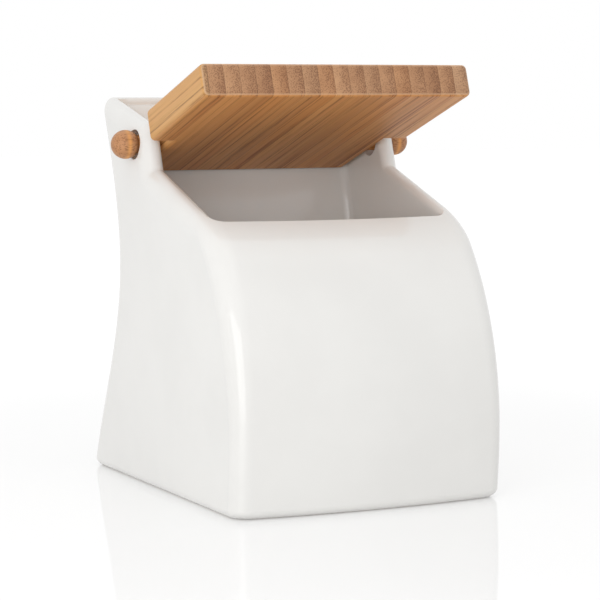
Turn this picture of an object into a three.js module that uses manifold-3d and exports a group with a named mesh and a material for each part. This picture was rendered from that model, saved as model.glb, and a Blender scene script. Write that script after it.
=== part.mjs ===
// Porcelain storage canister with a tilting bamboo lid.
// Millimetres, +Z up, the slanted mouth faces -Y, +X is the right-hand side.
// The origin is the centre of the footprint, on the surface the canister stands on.

import * as THREE from 'three';
import Module from 'manifold-3d';
import { mergeVertices } from 'three/addons/utils/BufferGeometryUtils.js';

const wasm = await Module();
wasm.setup();

// Porcelain body. The front and rear profiles are seen from the side.
const body = {
  width: 167,
  depth: 220.2,
  height: 225.9,
  wall: 7, // front and rear walls
  sideWall: 12,
  floor: 8,
  cornerRadius: 9,
  lipCornerRadius: 15, // the front corners soften to this from the belly up to the lip
  innerCornerRadius: 5,
  edgeInset: 8, // soft outer edge of the mouth, the ears and the top: across the wall, and down it
  edgeDrop: 11,
  frontBow: 5.6, // the front bulges forward by this much at mid-width
  lipBow: 1, // and by this much at the lip
  bellyHeight: 39.5, // height at which the front reaches farthest forward
  bellyArcBelowTop: 14.4, // side-view arc from the belly to the lip, level with its own top
  bellyLowerRadius: 300, // side-view arc from the belly down to the foot
  rearFootY: 111.6, // rear wall at the foot, before its edge is rounded
  rearWaistY: 68,
  rearWaistBelowTop: 98.4,
  rearTopY: 95.9,
  rearFootSlope: -0.33, // lean of the rear wall at the foot and at the top
  rearTopSlope: 0.41,
  footRadius: 5,
  floorRadius: 6,
  footRingWidth: 9,
  footRecess: 1.5,
};

// Hinge line of the lid, and the two ears that hold it.
const hinge = {
  y: 38.6,
  belowTop: 27.6,
  holeRadius: 8.6,
  openAngle: THREE.MathUtils.degToRad(18.8), // lid above the horizontal, as shown
  rimAngle: THREE.MathUtils.degToRad(19.4), // slope of the mouth, closed lid below the horizontal
};

// Opening cut square to the mouth's slope, so that the lip ends blunt.
const mouth = {
  reach: 98.8, // its front edge at mid-width, ahead of the hinge line along the slope
  bow: 2,
  depth: 8,
};

const ear = {
  reach: 19.6, // foot of each ear's front edge ahead of the hinge line
  frontLean: THREE.MathUtils.degToRad(17.8), // the front edge leans back by this much
  topAboveHinge: 14, // sloping top edge, measured straight above the hinge line
  topAngle: THREE.MathUtils.degToRad(14.3),
  footRadius: 3,
  topRadius: 13,
  leastRadius: 1, // what the rounding of the ears' sides leaves of that radius at the least
  blendLength: 14, // how far ahead of its front edge an ear runs out into the mouth's slope
};

// Bamboo lid board, measured from the hinge line in the lid's own frame.
const lid = {
  thickness: 19,
  hingeAboveUnderside: 6.4,
  shoulder: 24.4, // wide part begins this far ahead of the hinge line
  wideLength: 82.8,
  fullStaves: 16, // between the sliver at the left edge and the slightly wider stave at the right edge
  leftStaveShare: 0.38, // widths of those two, as shares of a full stave
  rightStaveShare: 1.09,
  tongueInsideJoint: 1.1, // the tongue begins this far inside the second joint from the left
  edgeRadius: 2,
  shoulderRadius: 3, // lower rear edge of the wide part, clear of the foot of the ears when closed
};

// Turned bamboo pegs: a ball on a shaft, with a thinner tenon glued into the tongue.
const peg = {
  ballRadius: 8.4,
  reach: 13.4, // beyond the outside of the ear
  shaftRadius: 5.2,
  tenonRadius: 4.5,
  tenonLength: 14,
};

const hingeZ = body.height - hinge.belowTop;
const bellyUpperRadius = body.height - body.bellyHeight - body.bellyArcBelowTop;
const rearWaistHeight = body.height - body.rearWaistBelowTop;
const staveWidth = body.width / (lid.leftStaveShare + lid.fullStaves + lid.rightStaveShare);
const halfTongue = body.width / 2 - (lid.leftStaveShare + 1) * staveWidth - lid.tongueInsideJoint;

const seatGap = 0.3; // between pieces that rest on or in one another
const overrun = 5; // how far every cutting solid runs past what it cuts
const crownDepth = 16; // the rounding of the mouth's edge is worked in this far below its slope
const leanStep = 0.5; // height over which the lean of a wall is measured

const cornerSteps = 6;
const bowSteps = 12;
const edgeSteps = 4;
const profileSteps = 20;
const roundSteps = 32;
const tipSteps = 12;

const porcelain = new THREE.MeshStandardMaterial({ color: 0xf0efed, roughness: 0.18, metalness: 0 });

function bamboo(color) {
  return new THREE.MeshStandardMaterial({ color, roughness: 0.55, metalness: 0 });
}

// Turns a geometry into a solid and back, so that pieces can be joined and cut.
function toSolid(geometry) {
  const plain = geometry.clone();
  plain.deleteAttribute('normal');
  plain.deleteAttribute('uv');
  const merged = mergeVertices(plain);
  return new wasm.Manifold(new wasm.Mesh({
    numProp: 3,
    vertProperties: new Float32Array(merged.attributes.position.array),
    triVerts: new Uint32Array(merged.index.array),
  }));
}

function toGeometry(solid) {
  const { vertProperties, triVerts } = solid.getMesh();
  const geometry = new THREE.BufferGeometry();
  geometry.setAttribute('position', new THREE.BufferAttribute(vertProperties, 3));
  geometry.setIndex(new THREE.BufferAttribute(triVerts, 1));
  geometry.computeVertexNormals();
  return geometry;
}

// Outline through the given corners, each an [x, y, radius] rounded by its own radius.
function roundedOutline(corners) {
  const outline = [];
  corners.forEach(([x, y, radius], i) => {
    const corner = new THREE.Vector2(x, y);
    if (radius === 0) {
      outline.push(corner);
      return;
    }
    const [beforeX, beforeY] = corners[(i + corners.length - 1) % corners.length];
    const [afterX, afterY] = corners[(i + 1) % corners.length];
    const toBefore = new THREE.Vector2(beforeX, beforeY).sub(corner).normalize();
    const toAfter = new THREE.Vector2(afterX, afterY).sub(corner).normalize();
    const half = Math.acos(toBefore.dot(toAfter)) / 2;
    const inward = toBefore.clone().add(toAfter).normalize();
    const centre = corner.clone().addScaledVector(inward, radius / Math.sin(half));
    const reach = radius / Math.tan(half);
    const start = corner.clone().addScaledVector(toBefore, reach).sub(centre);
    const end = corner.clone().addScaledVector(toAfter, reach).sub(centre);
    const turn = Math.sign(start.cross(end)) * (Math.PI - 2 * half);
    for (let step = 0; step <= edgeSteps; step++) {
      const spoke = start.clone().rotateAround(new THREE.Vector2(), (turn * step) / edgeSteps);
      outline.push(spoke.add(centre));
    }
  });
  return outline;
}

function extrude(outline, depth) {
  return new THREE.ExtrudeGeometry(new THREE.Shape(outline), { depth, bevelEnabled: false });
}

// Turns a shape drawn in XY and built up along Z into a side view in YZ built up along X.
const sideViewAxes = new THREE.Matrix4().makeBasis(
  new THREE.Vector3(0, 1, 0), new THREE.Vector3(0, 0, 1), new THREE.Vector3(1, 0, 0));

// Prisms between two planes: the outline lies in YZ for one along X, in XZ along Y, in XY along Z.
function prismAlongX(outline, from, to) {
  return toSolid(extrude(outline, to - from).applyMatrix4(sideViewAxes).translate(from, 0, 0));
}

function prismAlongY(outline, from, to) {
  return toSolid(extrude(outline, to - from).rotateX(Math.PI / 2).translate(0, to, 0));
}

function prismAlongZ(outline, from, to) {
  return toSolid(extrude(outline, to - from).translate(0, 0, from));
}

function rodAlongX(radius, from, to) {
  const geometry = new THREE.CylinderGeometry(radius, radius, to - from, roundSteps);
  return toSolid(geometry.rotateZ(Math.PI / 2).translate((from + to) / 2, 0, 0));
}

// The mouth's rim: a straight slope just under the closed lid, carried up from the hinge line.
const rimBelowHinge = (lid.hingeAboveUnderside + seatGap) / Math.cos(hinge.rimAngle);

function rimHeight(y) {
  return hingeZ - rimBelowHinge + (y - hinge.y) * Math.tan(hinge.rimAngle);
}

// Side-view profile of the front wall at mid-width.
function bellyArc(z) {
  const radius = z > body.bellyHeight ? bellyUpperRadius : body.bellyLowerRadius;
  const fallBack = radius - Math.sqrt(radius ** 2 - (z - body.bellyHeight) ** 2);
  return fallBack - body.depth / 2;
}

let lipHeight = body.bellyHeight;
for (let round = 0; round < profileSteps; round++) {
  lipHeight = rimHeight(bellyArc(lipHeight));
}

// From 0 at the belly to 1 at the lip: how far the front has turned flatter and its corners softer.
function lipShare(z) {
  const share = (z - body.bellyHeight) / (lipHeight - body.bellyHeight);
  return Math.min(Math.max(share, 0), 1);
}

function frontBow(z) {
  return body.frontBow + (body.lipBow - body.frontBow) * lipShare(z);
}

// Side-view profile of the front wall at the body's corners.
// Above the rounding of the mouth it is cut away, so there it only goes straight up.
function frontY(z) {
  return bellyArc(Math.min(z, lipHeight + crownDepth)) + frontBow(z);
}

// Side-view profile of the rear wall: foot to waist and waist to top, each a smooth S.
function rearY(z) {
  const below = z < rearWaistHeight;
  const span = below ? rearWaistHeight : body.height - rearWaistHeight;
  const along = below ? z / span : (z - rearWaistHeight) / span;
  const startY = below ? body.rearFootY : body.rearWaistY;
  const endY = below ? body.rearWaistY : body.rearTopY;
  const startSlope = below ? body.rearFootSlope : 0;
  const endSlope = below ? 0 : body.rearTopSlope;
  const blend = along ** 2 * (3 - 2 * along);
  const startLean = startSlope * span * along * (1 - along) ** 2;
  const endLean = endSlope * span * along ** 2 * (along - 1);
  return startY + (endY - startY) * blend + startLean + endLean;
}

// How much wider than the wall a leaning wall is when it is cut level.
function levelShare(profile, z) {
  return Math.hypot(1, (profile(z + leanStep) - profile(z - leanStep)) / (2 * leanStep));
}

// The body's outside and inside: how far each is set in, and how it turns its corners.
const outerSkin = {
  inset: 0,
  sideInset: 0,
  cornerRadius: body.cornerRadius,
  softening: body.lipCornerRadius - body.cornerRadius,
};
const innerSkin = {
  inset: body.wall,
  sideInset: body.sideWall,
  cornerRadius: body.innerCornerRadius,
  softening: 0,
};

// Plan of the body as upright ribs, each in a rounded corner or in the bowed front between two corners.
const ribs = [];

function addCornerRibs(sideX, sideY, startAngle) {
  for (let step = 0; step <= cornerSteps; step++) {
    const angle = startAngle + (Math.PI / 2) * (step / cornerSteps);
    ribs.push({ sideX, sideY, alongX: Math.cos(angle), alongY: Math.sin(angle) });
  }
}

addCornerRibs(1, 1, 0);
addCornerRibs(-1, 1, Math.PI / 2);
addCornerRibs(-1, -1, Math.PI);
for (let step = 1; step < bowSteps; step++) {
  ribs.push({ sideX: (2 * step) / bowSteps - 1, sideY: -1, alongX: 0, alongY: -1 });
}
addCornerRibs(1, -1, -Math.PI / 2);

// Where a rib is at a height, set in from the outside by the front and rear walls and the side walls.
// The front is bowed forward at mid-width, and its corners soften towards the lip.
function ribPoint(rib, z, { inset, sideInset, cornerRadius, softening }) {
  const halfWidth = body.width / 2 - sideInset;
  const front = frontY(z) + inset * levelShare(frontY, z);
  const rear = rearY(z) - inset * levelShare(rearY, z);
  const radius = cornerRadius + (rib.sideY < 0 ? softening * lipShare(z) : 0);
  const x = rib.sideX * (halfWidth - radius) + rib.alongX * radius;
  const centreY = rib.sideY < 0 ? front + radius : rear - radius;
  const y = centreY + rib.alongY * radius;
  const forward = (rear - y) / (rear - front);
  return new THREE.Vector3(x, y - frontBow(z) * forward * (1 - (x / halfWidth) ** 2), z);
}

function levelOutline(z, wall) {
  return ribs.map((rib) => ribPoint(rib, z, wall));
}

// A skin set in by the same further amount all round.
function shrunk(wall, edge) {
  return { ...wall, inset: wall.inset + edge, sideInset: wall.sideInset + edge };
}

function capOf(outline) {
  return THREE.ShapeUtils.triangulateShape(outline.map(({ x, y }) => new THREE.Vector2(x, y)), []);
}

// Closed skin through outlines from the lowest to the highest, all with the same number of points.
function loft(levels) {
  const count = levels[0].length;
  const positions = levels.flat().flatMap((point) => point.toArray());
  const indices = [];
  for (let level = 0; level < levels.length - 1; level++) {
    for (let i = 0; i < count; i++) {
      const next = (i + 1) % count;
      const low = level * count;
      const high = low + count;
      indices.push(low + i, low + next, high + next, low + i, high + next, high + i);
    }
  }
  const cap = capOf(levels[0]);
  const top = (levels.length - 1) * count;
  cap.forEach(([a, b, c]) => indices.push(a, c, b));
  const cover = capOf(levels.at(-1));
  cover.forEach(([a, b, c]) => indices.push(top + a, top + b, top + c));
  const geometry = new THREE.BufferGeometry();
  geometry.setAttribute('position', new THREE.Float32BufferAttribute(positions, 3));
  geometry.setIndex(indices);
  return geometry;
}

// Solid between two heights whose bottom edge is rounded, and its top edge too where it has a drop.
function bowl({ bottom, top, bottomRadius, topInset, topDrop, wall }) {
  const levels = [];
  for (let step = 0; step <= edgeSteps; step++) {
    const angle = (Math.PI / 2) * (step / edgeSteps);
    const z = bottom + bottomRadius * (1 - Math.cos(angle));
    levels.push(levelOutline(z, shrunk(wall, bottomRadius * (1 - Math.sin(angle)))));
  }
  const start = bottom + bottomRadius;
  const end = top - topDrop;
  for (let step = 1; step <= profileSteps; step++) {
    const z = start + (end - start) * (step / profileSteps);
    levels.push(levelOutline(z, wall));
  }
  if (topDrop > 0) {
    for (let step = 1; step <= edgeSteps; step++) {
      const angle = (Math.PI / 2) * (step / edgeSteps);
      const edge = topInset * (1 - Math.cos(angle));
      const z = end + topDrop * Math.sin(angle);
      levels.push(levelOutline(z, { ...shrunk(wall, edge), cornerRadius: wall.cornerRadius - edge }));
    }
  }
  return toSolid(loft(levels));
}

// Section of a soft edge: how far it is set in and how far it lies below the edge's own plane.
// It starts outside the wall, so that it cuts the wall at a clear angle.
function edgeSection() {
  const section = [];
  for (let step = 0; step <= edgeSteps; step++) {
    const angle = (Math.PI / 2) * (step / edgeSteps);
    section.push({
      inset: body.edgeInset * (1 - Math.cos(angle)),
      drop: body.edgeDrop * (1 - Math.sin(angle)),
    });
  }
  const [{ inset, drop }, next] = section;
  const lead = { inset: 2 * inset - next.inset, drop: 2 * drop - next.drop };
  return [lead, ...section];
}

// The top of the body under the slope of the mouth, with the mouth's outer edge rounded.
function underTheSlope() {
  const slanted = (inset, drop) => ribs.map((rib) => {
    const wall = { ...shrunk(outerSkin, inset), cornerRadius: body.cornerRadius - inset };
    let z = hingeZ;
    for (let round = 0; round < profileSteps; round++) {
      z = rimHeight(ribPoint(rib, z, wall).y) - drop / Math.cos(hinge.rimAngle);
    }
    return ribPoint(rib, z, wall);
  });
  const below = slanted(-overrun, crownDepth + overrun);
  const edge = edgeSection().map(({ inset, drop }) => slanted(inset, drop));
  return toSolid(loft([below, ...edge]));
}

// Where the leaning front edge of an ear, set back by a shrink, meets a line rising to the rear.
function onEarFront(shrink, lineHeight, lineAngle) {
  const footY = hinge.y - ear.reach;
  const lean = Math.tan(ear.frontLean);
  const setBack = shrink / Math.cos(ear.frontLean);
  const rise = lineHeight(footY) - rimHeight(footY);
  const y = footY + (setBack + rise * lean) / (1 - Math.tan(lineAngle) * lean);
  return [y, lineHeight(y)];
}

// Side view of what stays behind the front edges of the ears and under their sloping tops.
function earOutline(shrink) {
  const slope = (y) => rimHeight(y) - shrink / Math.cos(hinge.rimAngle);
  const topShrink = shrink / Math.cos(ear.topAngle);
  const earTop = (y) => hingeZ + ear.topAboveHinge + (y - hinge.y) * Math.tan(ear.topAngle) - topShrink;
  const blendY = hinge.y - ear.reach - ear.blendLength;
  const farRear = body.depth / 2 + overrun;
  const deep = rimHeight(blendY) - crownDepth - overrun;
  return roundedOutline([
    [blendY, deep, 0],
    [farRear, deep, 0],
    [farRear, earTop(farRear), 0],
    [...onEarFront(shrink, earTop, ear.topAngle), Math.max(ear.topRadius - shrink, ear.leastRadius)],
    [...onEarFront(shrink, slope, hinge.rimAngle), ear.footRadius + shrink],
    [blendY, slope(blendY) - seatGap, 0],
  ]);
}

// Side views from the left to the right, shrunk towards both sides so that the outer edges are rounded.
function earBlock() {
  const halfWidth = body.width / 2;
  const edge = edgeSection();
  const left = edge.map(({ inset, drop }) => ({ x: inset - halfWidth, shrink: drop }));
  const right = edge.map(({ inset, drop }) => ({ x: halfWidth - inset, shrink: drop })).reverse();
  const sections = [...left, ...right].map(({ x, shrink }) => (
    earOutline(shrink).map((point) => new THREE.Vector3(point.x, point.y, x))));
  return toSolid(loft(sections).applyMatrix4(sideViewAxes));
}

// All that lies above a plane somewhat below the mouth's slope; only the crown is left standing there.
function aboveTheCrown() {
  const sink = crownDepth / Math.cos(hinge.rimAngle);
  const farFront = -body.depth / 2 - overrun;
  const farRear = body.depth / 2 + overrun;
  const sky = body.height + overrun;
  const outline = [
    [farFront, rimHeight(farFront) - sink],
    [farRear, rimHeight(farRear) - sink],
    [farRear, sky],
    [farFront, sky],
  ].map(([y, z]) => new THREE.Vector2(y, z));
  return prismAlongX(outline, -body.width / 2 - overrun, body.width / 2 + overrun);
}

// Prism square to the slope: a rounded outline whose front edge is bowed forward.
function mouthOpening() {
  const halfWidth = body.width / 2 - body.sideWall;
  const cornerReach = mouth.reach - mouth.bow;
  const outline = roundedOutline([
    [halfWidth, -cornerReach, body.innerCornerRadius], [halfWidth, 0, 0],
    [-halfWidth, 0, 0], [-halfWidth, -cornerReach, body.innerCornerRadius]]);
  outline.forEach((point) => {
    const forward = -point.y / cornerReach;
    point.y -= mouth.bow * forward * (1 - (point.x / halfWidth) ** 2);
  });
  return prismAlongZ(outline, -mouth.depth, overrun)
    .rotate([THREE.MathUtils.radToDeg(hinge.rimAngle), 0, 0])
    .translate([0, hinge.y, hingeZ - rimBelowHinge]);
}

function makeBody() {
  const outside = bowl({
    bottom: 0,
    top: body.height,
    bottomRadius: body.footRadius,
    topInset: body.edgeInset,
    topDrop: body.edgeDrop,
    wall: outerSkin,
  });
  const inside = bowl({
    bottom: body.floor,
    top: body.height + overrun,
    bottomRadius: body.floorRadius,
    topInset: 0,
    topDrop: 0,
    wall: innerSkin,
  });
  const crown = underTheSlope().add(earBlock());
  const footInset = body.footRadius + body.footRingWidth;
  const footSkin = { ...innerSkin, inset: footInset, sideInset: footInset };
  const recessOutline = levelOutline(0, footSkin);
  const recess = prismAlongZ(recessOutline, -overrun, body.footRecess);
  const holes = rodAlongX(hinge.holeRadius, -body.width, body.width).translate([0, hinge.y, hingeZ]);
  return outside.subtract(aboveTheCrown().subtract(crown))
    .subtract(inside)
    .subtract(mouthOpening())
    .subtract(holes)
    .subtract(recess);
}

// How far the tongue reaches behind the hinge line, so that its end face just clears the rear wall.
// The end face is tried from its lower edge to its upper one, and the lid from open to closed.
function tongueReach() {
  const reaches = [];
  for (let tilt = 0; tilt <= profileSteps; tilt++) {
    const angle = hinge.openAngle - (hinge.openAngle + hinge.rimAngle) * (tilt / profileSteps);
    for (let step = 0; step <= edgeSteps; step++) {
      const above = lid.thickness * (step / edgeSteps) - lid.hingeAboveUnderside;
      let reach = lid.shoulder;
      for (let round = 0; round < profileSteps; round++) {
        const z = hingeZ - reach * Math.sin(angle) + above * Math.cos(angle);
        const wallY = rearY(z) - (body.wall + seatGap) * levelShare(rearY, z);
        reach = (wallY - hinge.y - above * Math.sin(angle)) / Math.cos(angle);
      }
      reaches.push(reach);
    }
  }
  return Math.min(...reaches);
}

// The glued-up board before it is split into staves: the wide part, and the tongue between the ears.
function makeBoard() {
  const halfWidth = body.width / 2;
  const front = -lid.shoulder - lid.wideLength;
  const back = -lid.shoulder;
  const rear = tongueReach();
  const under = -lid.hingeAboveUnderside;
  const over = under + lid.thickness;
  const round = lid.edgeRadius;
  const wideSide = roundedOutline([
    [front, under, round], [back, under, lid.shoulderRadius], [back, over, round], [front, over, round]]);
  const widePlan = roundedOutline([
    [-halfWidth, front, round], [halfWidth, front, round],
    [halfWidth, back, round], [-halfWidth, back, round]]);
  const wideFace = roundedOutline([
    [-halfWidth, under, round], [halfWidth, under, round],
    [halfWidth, over, round], [-halfWidth, over, round]]);
  const middle = back - lid.thickness;
  const tongueSide = roundedOutline([
    [middle, under, 0], [rear, under, round], [rear, over, round], [middle, over, 0]]);
  const tonguePlan = roundedOutline([
    [-halfTongue, middle, 0], [halfTongue, middle, 0],
    [halfTongue, rear, round], [-halfTongue, rear, round]]);
  const wide = prismAlongX(wideSide, -halfWidth - overrun, halfWidth + overrun)
    .intersect(prismAlongZ(widePlan, under - overrun, over + overrun))
    .intersect(prismAlongY(wideFace, front - overrun, back + overrun));
  const tongue = prismAlongX(tongueSide, -halfWidth, halfWidth)
    .intersect(prismAlongZ(tonguePlan, under - overrun, over + overrun));
  const tenonHole = peg.tenonRadius + seatGap;
  const holeDepth = peg.tenonLength + seatGap;
  return wide.add(tongue)
    .subtract(rodAlongX(tenonHole, halfTongue - holeDepth, halfTongue + overrun))
    .subtract(rodAlongX(tenonHole, -halfTongue - overrun, holeDepth - halfTongue));
}

// Joints between the staves from left to right, with the outer two moved out past the board's edges.
function staveJoints() {
  const joints = [-body.width / 2 - overrun];
  for (let stave = 0; stave <= lid.fullStaves; stave++) {
    joints.push((lid.leftStaveShare + stave) * staveWidth - body.width / 2);
  }
  joints.push(body.width / 2 + overrun);
  return joints;
}

function makeStave(board, from, to) {
  const reach = body.depth;
  const slab = [[from, -reach], [to, -reach], [to, reach], [from, reach]];
  const outline = slab.map(([x, y]) => new THREE.Vector2(x, y));
  return toGeometry(board.intersect(prismAlongZ(outline, -lid.thickness, lid.thickness)));
}

// Half profile from the tenon's tip to the end of the ball, along the peg's own axis.
function makePeg() {
  const start = halfTongue + seatGap;
  const tip = body.width / 2 + peg.reach;
  const profile = [
    new THREE.Vector2(0, start - peg.tenonLength),
    new THREE.Vector2(peg.tenonRadius, start - peg.tenonLength),
    new THREE.Vector2(peg.tenonRadius, start),
    new THREE.Vector2(peg.shaftRadius, start),
  ];
  const neckAngle = -Math.acos(peg.shaftRadius / peg.ballRadius);
  for (let step = 0; step < tipSteps; step++) {
    const angle = neckAngle + (Math.PI / 2 - neckAngle) * (step / tipSteps);
    profile.push(new THREE.Vector2(
      peg.ballRadius * Math.cos(angle), tip - peg.ballRadius + peg.ballRadius * Math.sin(angle)));
  }
  profile.push(new THREE.Vector2(0, tip));
  return new THREE.LatheGeometry(profile, roundSteps);
}

const canister = new THREE.Group();

const bodyMesh = new THREE.Mesh(toGeometry(makeBody()), porcelain);
bodyMesh.name = 'porcelain_body';
canister.add(bodyMesh);

const lidGroup = new THREE.Group();
lidGroup.position.set(0, hinge.y, hingeZ);
lidGroup.rotation.x = -hinge.openAngle;
canister.add(lidGroup);

const board = makeBoard();
const joints = staveJoints();
const staveColors = [0xc99c66, 0xc29160, 0xcfa36e, 0xbf8d59];
for (let i = 0; i < joints.length - 1; i++) {
  const color = staveColors[i % staveColors.length];
  const stave = new THREE.Mesh(makeStave(board, joints[i], joints[i + 1]), bamboo(color));
  stave.name = `lid_stave_${String(i + 1).padStart(2, '0')}`;
  lidGroup.add(stave);
}

const pegRight = new THREE.Mesh(makePeg(), bamboo(0xd9ae78));
pegRight.name = 'peg_right';
pegRight.rotation.z = -Math.PI / 2;
lidGroup.add(pegRight);

const pegLeft = new THREE.Mesh(makePeg(), bamboo(0xd9ae78));
pegLeft.name = 'peg_left';
pegLeft.rotation.z = Math.PI / 2;
lidGroup.add(pegLeft);

export default canister;
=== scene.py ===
import math

import bmesh
import bpy
from mathutils import Matrix, Vector


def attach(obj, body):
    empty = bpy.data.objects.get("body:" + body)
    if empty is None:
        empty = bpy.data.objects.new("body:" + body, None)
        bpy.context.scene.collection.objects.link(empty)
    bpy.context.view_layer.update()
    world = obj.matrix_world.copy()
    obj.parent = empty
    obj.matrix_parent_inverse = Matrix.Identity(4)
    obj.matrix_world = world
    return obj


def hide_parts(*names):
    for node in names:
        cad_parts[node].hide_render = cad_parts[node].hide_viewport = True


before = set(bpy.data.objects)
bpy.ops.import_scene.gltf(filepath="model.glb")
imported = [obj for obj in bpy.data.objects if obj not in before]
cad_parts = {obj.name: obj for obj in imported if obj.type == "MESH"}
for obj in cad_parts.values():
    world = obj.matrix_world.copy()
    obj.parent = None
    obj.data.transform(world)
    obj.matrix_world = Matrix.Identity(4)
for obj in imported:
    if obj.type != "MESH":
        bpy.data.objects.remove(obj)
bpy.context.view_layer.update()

MM = 0.001

# Porcelain body, in millimetres: the same sizes as the solid it stands for.
WIDTH = 167.0
DEPTH = 220.2
HEIGHT = 225.9
WALL = 7.0
SIDE_WALL = 12.0
FLOOR = 8.0
CORNER_RADIUS = 9.0
LIP_CORNER_RADIUS = 15.0
SOFTENING = LIP_CORNER_RADIUS - CORNER_RADIUS
INNER_CORNER_RADIUS = 5.0
EDGE_INSET = 8.0
EDGE_DROP = 11.0
INNER_EDGE_RADIUS = 4.0
REAR_EDGE_RADIUS = 1.5
FRONT_BOW = 5.6
LIP_BOW = 1.0
MOUTH_REACH = 98.8
MOUTH_BOW = 2.0
MOUTH_DEPTH = 8.0
MOUTH_REAR = -36.0
BELLY_HEIGHT = 39.5
BELLY_UPPER_RADIUS = 172.0
BELLY_LOWER_RADIUS = 300.0
REAR_FOOT_Y = 111.6
REAR_WAIST_Y = 68.0
REAR_WAIST_HEIGHT = 127.5
REAR_TOP_Y = 95.9
REAR_FOOT_SLOPE = -0.33
REAR_TOP_SLOPE = 0.41
FOOT_RADIUS = 5.0
FLOOR_RADIUS = 6.0
FOOT_RING_WIDTH = 9.0
FOOT_RECESS = 1.5

HINGE_Y = 38.6
HINGE_Z = 198.3
HOLE_RADIUS = 8.6
HOLE_EDGE_RADIUS = 0.8
OPEN_ANGLE = math.radians(18.8)
RIM_ANGLE = math.radians(19.4)

EAR_REACH = 19.6
EAR_FRONT_LEAN = math.radians(17.8)
EAR_TOP_ABOVE_HINGE = 14.0
EAR_TOP_ANGLE = math.radians(14.3)
EAR_FOOT_RADIUS = 3.0
EAR_TOP_RADIUS = 13.0
EAR_LEAST_RADIUS = 1.0
EAR_BLEND_LENGTH = 14.0

# Lid board and pegs, measured from the hinge line in the lid's own frame. The board's edges are
# eased a little more than the solid's, as its corners look in the photograph.
LID_THICKNESS = 19.0
HINGE_ABOVE_UNDERSIDE = 6.4
SHOULDER = 24.4
WIDE_LENGTH = 82.8
LID_EDGE_RADIUS = 3.0
FULL_STAVES = 16
LEFT_STAVE_SHARE = 0.38
RIGHT_STAVE_SHARE = 1.09
TONGUE_INSIDE_JOINT = 1.1
TONGUE_REACH = 35.3
STAVE_WIDTH = WIDTH / (LEFT_STAVE_SHARE + FULL_STAVES + RIGHT_STAVE_SHARE)
HALF_TONGUE = WIDTH / 2 - (LEFT_STAVE_SHARE + 1) * STAVE_WIDTH - TONGUE_INSIDE_JOINT

BALL_RADIUS = 8.4
PEG_REACH = 13.4
SHAFT_RADIUS = 5.2
TENON_RADIUS = 4.5
TENON_LENGTH = 14.0

SEAT_GAP = 0.3
OVERRUN = 5.0
CROWN_DEPTH = 16.0
LEAN_STEP = 0.5
RIM_BELOW_HINGE = (HINGE_ABOVE_UNDERSIDE + SEAT_GAP) / math.cos(RIM_ANGLE)

CORNER_STEPS = 14
BOW_STEPS = 36
SIDE_STEPS = 24
REAR_STEPS = 20
EDGE_STEPS = 12
INNER_EDGE_STEPS = 6
PROFILE_STEPS = 64
ROUND_STEPS = 96
HOLE_STEPS = 4
BALL_STEPS = 36
BEVEL_SEGMENTS = 6
SETTLE_ROUNDS = 40

ROUND_PROFILE = 0.5
LEAST_CORNER_RADIUS = 0.5
PEG_EASE = 0.5
POINT_RADIUS = 0.02
WELD_DISTANCE = 0.01
NORMAL_WEIGHT = 60
CREASE_ANGLE = 0.5
POT_SHARP_ANGLE = math.radians(35)
STAVE_SHARP_ANGLE = math.radians(30)
PEG_SHARP_ANGLE = math.radians(35)


# Front and rear profiles of the pot, seen from the side.
def rim_height(y):
    return HINGE_Z - RIM_BELOW_HINGE + (y - HINGE_Y) * math.tan(RIM_ANGLE)


def belly_arc(z):
    radius = BELLY_UPPER_RADIUS if z > BELLY_HEIGHT else BELLY_LOWER_RADIUS
    fall_back = radius - math.sqrt(radius ** 2 - (z - BELLY_HEIGHT) ** 2)
    return fall_back - DEPTH / 2


lip_height = BELLY_HEIGHT
for _ in range(SETTLE_ROUNDS):
    lip_height = rim_height(belly_arc(lip_height))


def lip_share(z):
    return min(max((z - BELLY_HEIGHT) / (lip_height - BELLY_HEIGHT), 0), 1)


def front_bow(z):
    return FRONT_BOW + (LIP_BOW - FRONT_BOW) * lip_share(z)


def front_y(z):
    return belly_arc(min(z, lip_height + CROWN_DEPTH)) + front_bow(z)


def rear_y(z):
    below = z < REAR_WAIST_HEIGHT
    span = REAR_WAIST_HEIGHT if below else HEIGHT - REAR_WAIST_HEIGHT
    along = z / span if below else (z - REAR_WAIST_HEIGHT) / span
    start_y, end_y = (REAR_FOOT_Y, REAR_WAIST_Y) if below else (REAR_WAIST_Y, REAR_TOP_Y)
    start_slope, end_slope = (REAR_FOOT_SLOPE, 0.0) if below else (0.0, REAR_TOP_SLOPE)
    blend = along ** 2 * (3 - 2 * along)
    start_lean = start_slope * span * along * (1 - along) ** 2
    end_lean = end_slope * span * along ** 2 * (along - 1)
    return start_y + (end_y - start_y) * blend + start_lean + end_lean


def level_share(profile, z):
    return math.hypot(1, (profile(z + LEAN_STEP) - profile(z - LEAN_STEP)) / (2 * LEAN_STEP))


# Plan of the pot as upright ribs: four rounded corners and the stretches between them.
def plan_ribs():
    ribs = []

    def corner(side, rear_share, start):
        for step in range(CORNER_STEPS + 1):
            angle = start + math.pi / 2 * step / CORNER_STEPS
            ribs.append((side, rear_share, math.cos(angle), math.sin(angle)))

    corner(1, 1, 0)
    for step in range(1, REAR_STEPS):
        ribs.append((1 - 2 * step / REAR_STEPS, 1, 0, 1))
    corner(-1, 1, math.pi / 2)
    for step in range(1, SIDE_STEPS):
        ribs.append((-1, 1 - step / SIDE_STEPS, -1, 0))
    corner(-1, 0, math.pi)
    for step in range(1, BOW_STEPS):
        ribs.append((2 * step / BOW_STEPS - 1, 0, 0, -1))
    corner(1, 0, -math.pi / 2)
    for step in range(1, SIDE_STEPS):
        ribs.append((1, step / SIDE_STEPS, 1, 0))
    return ribs


RIBS = plan_ribs()


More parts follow.
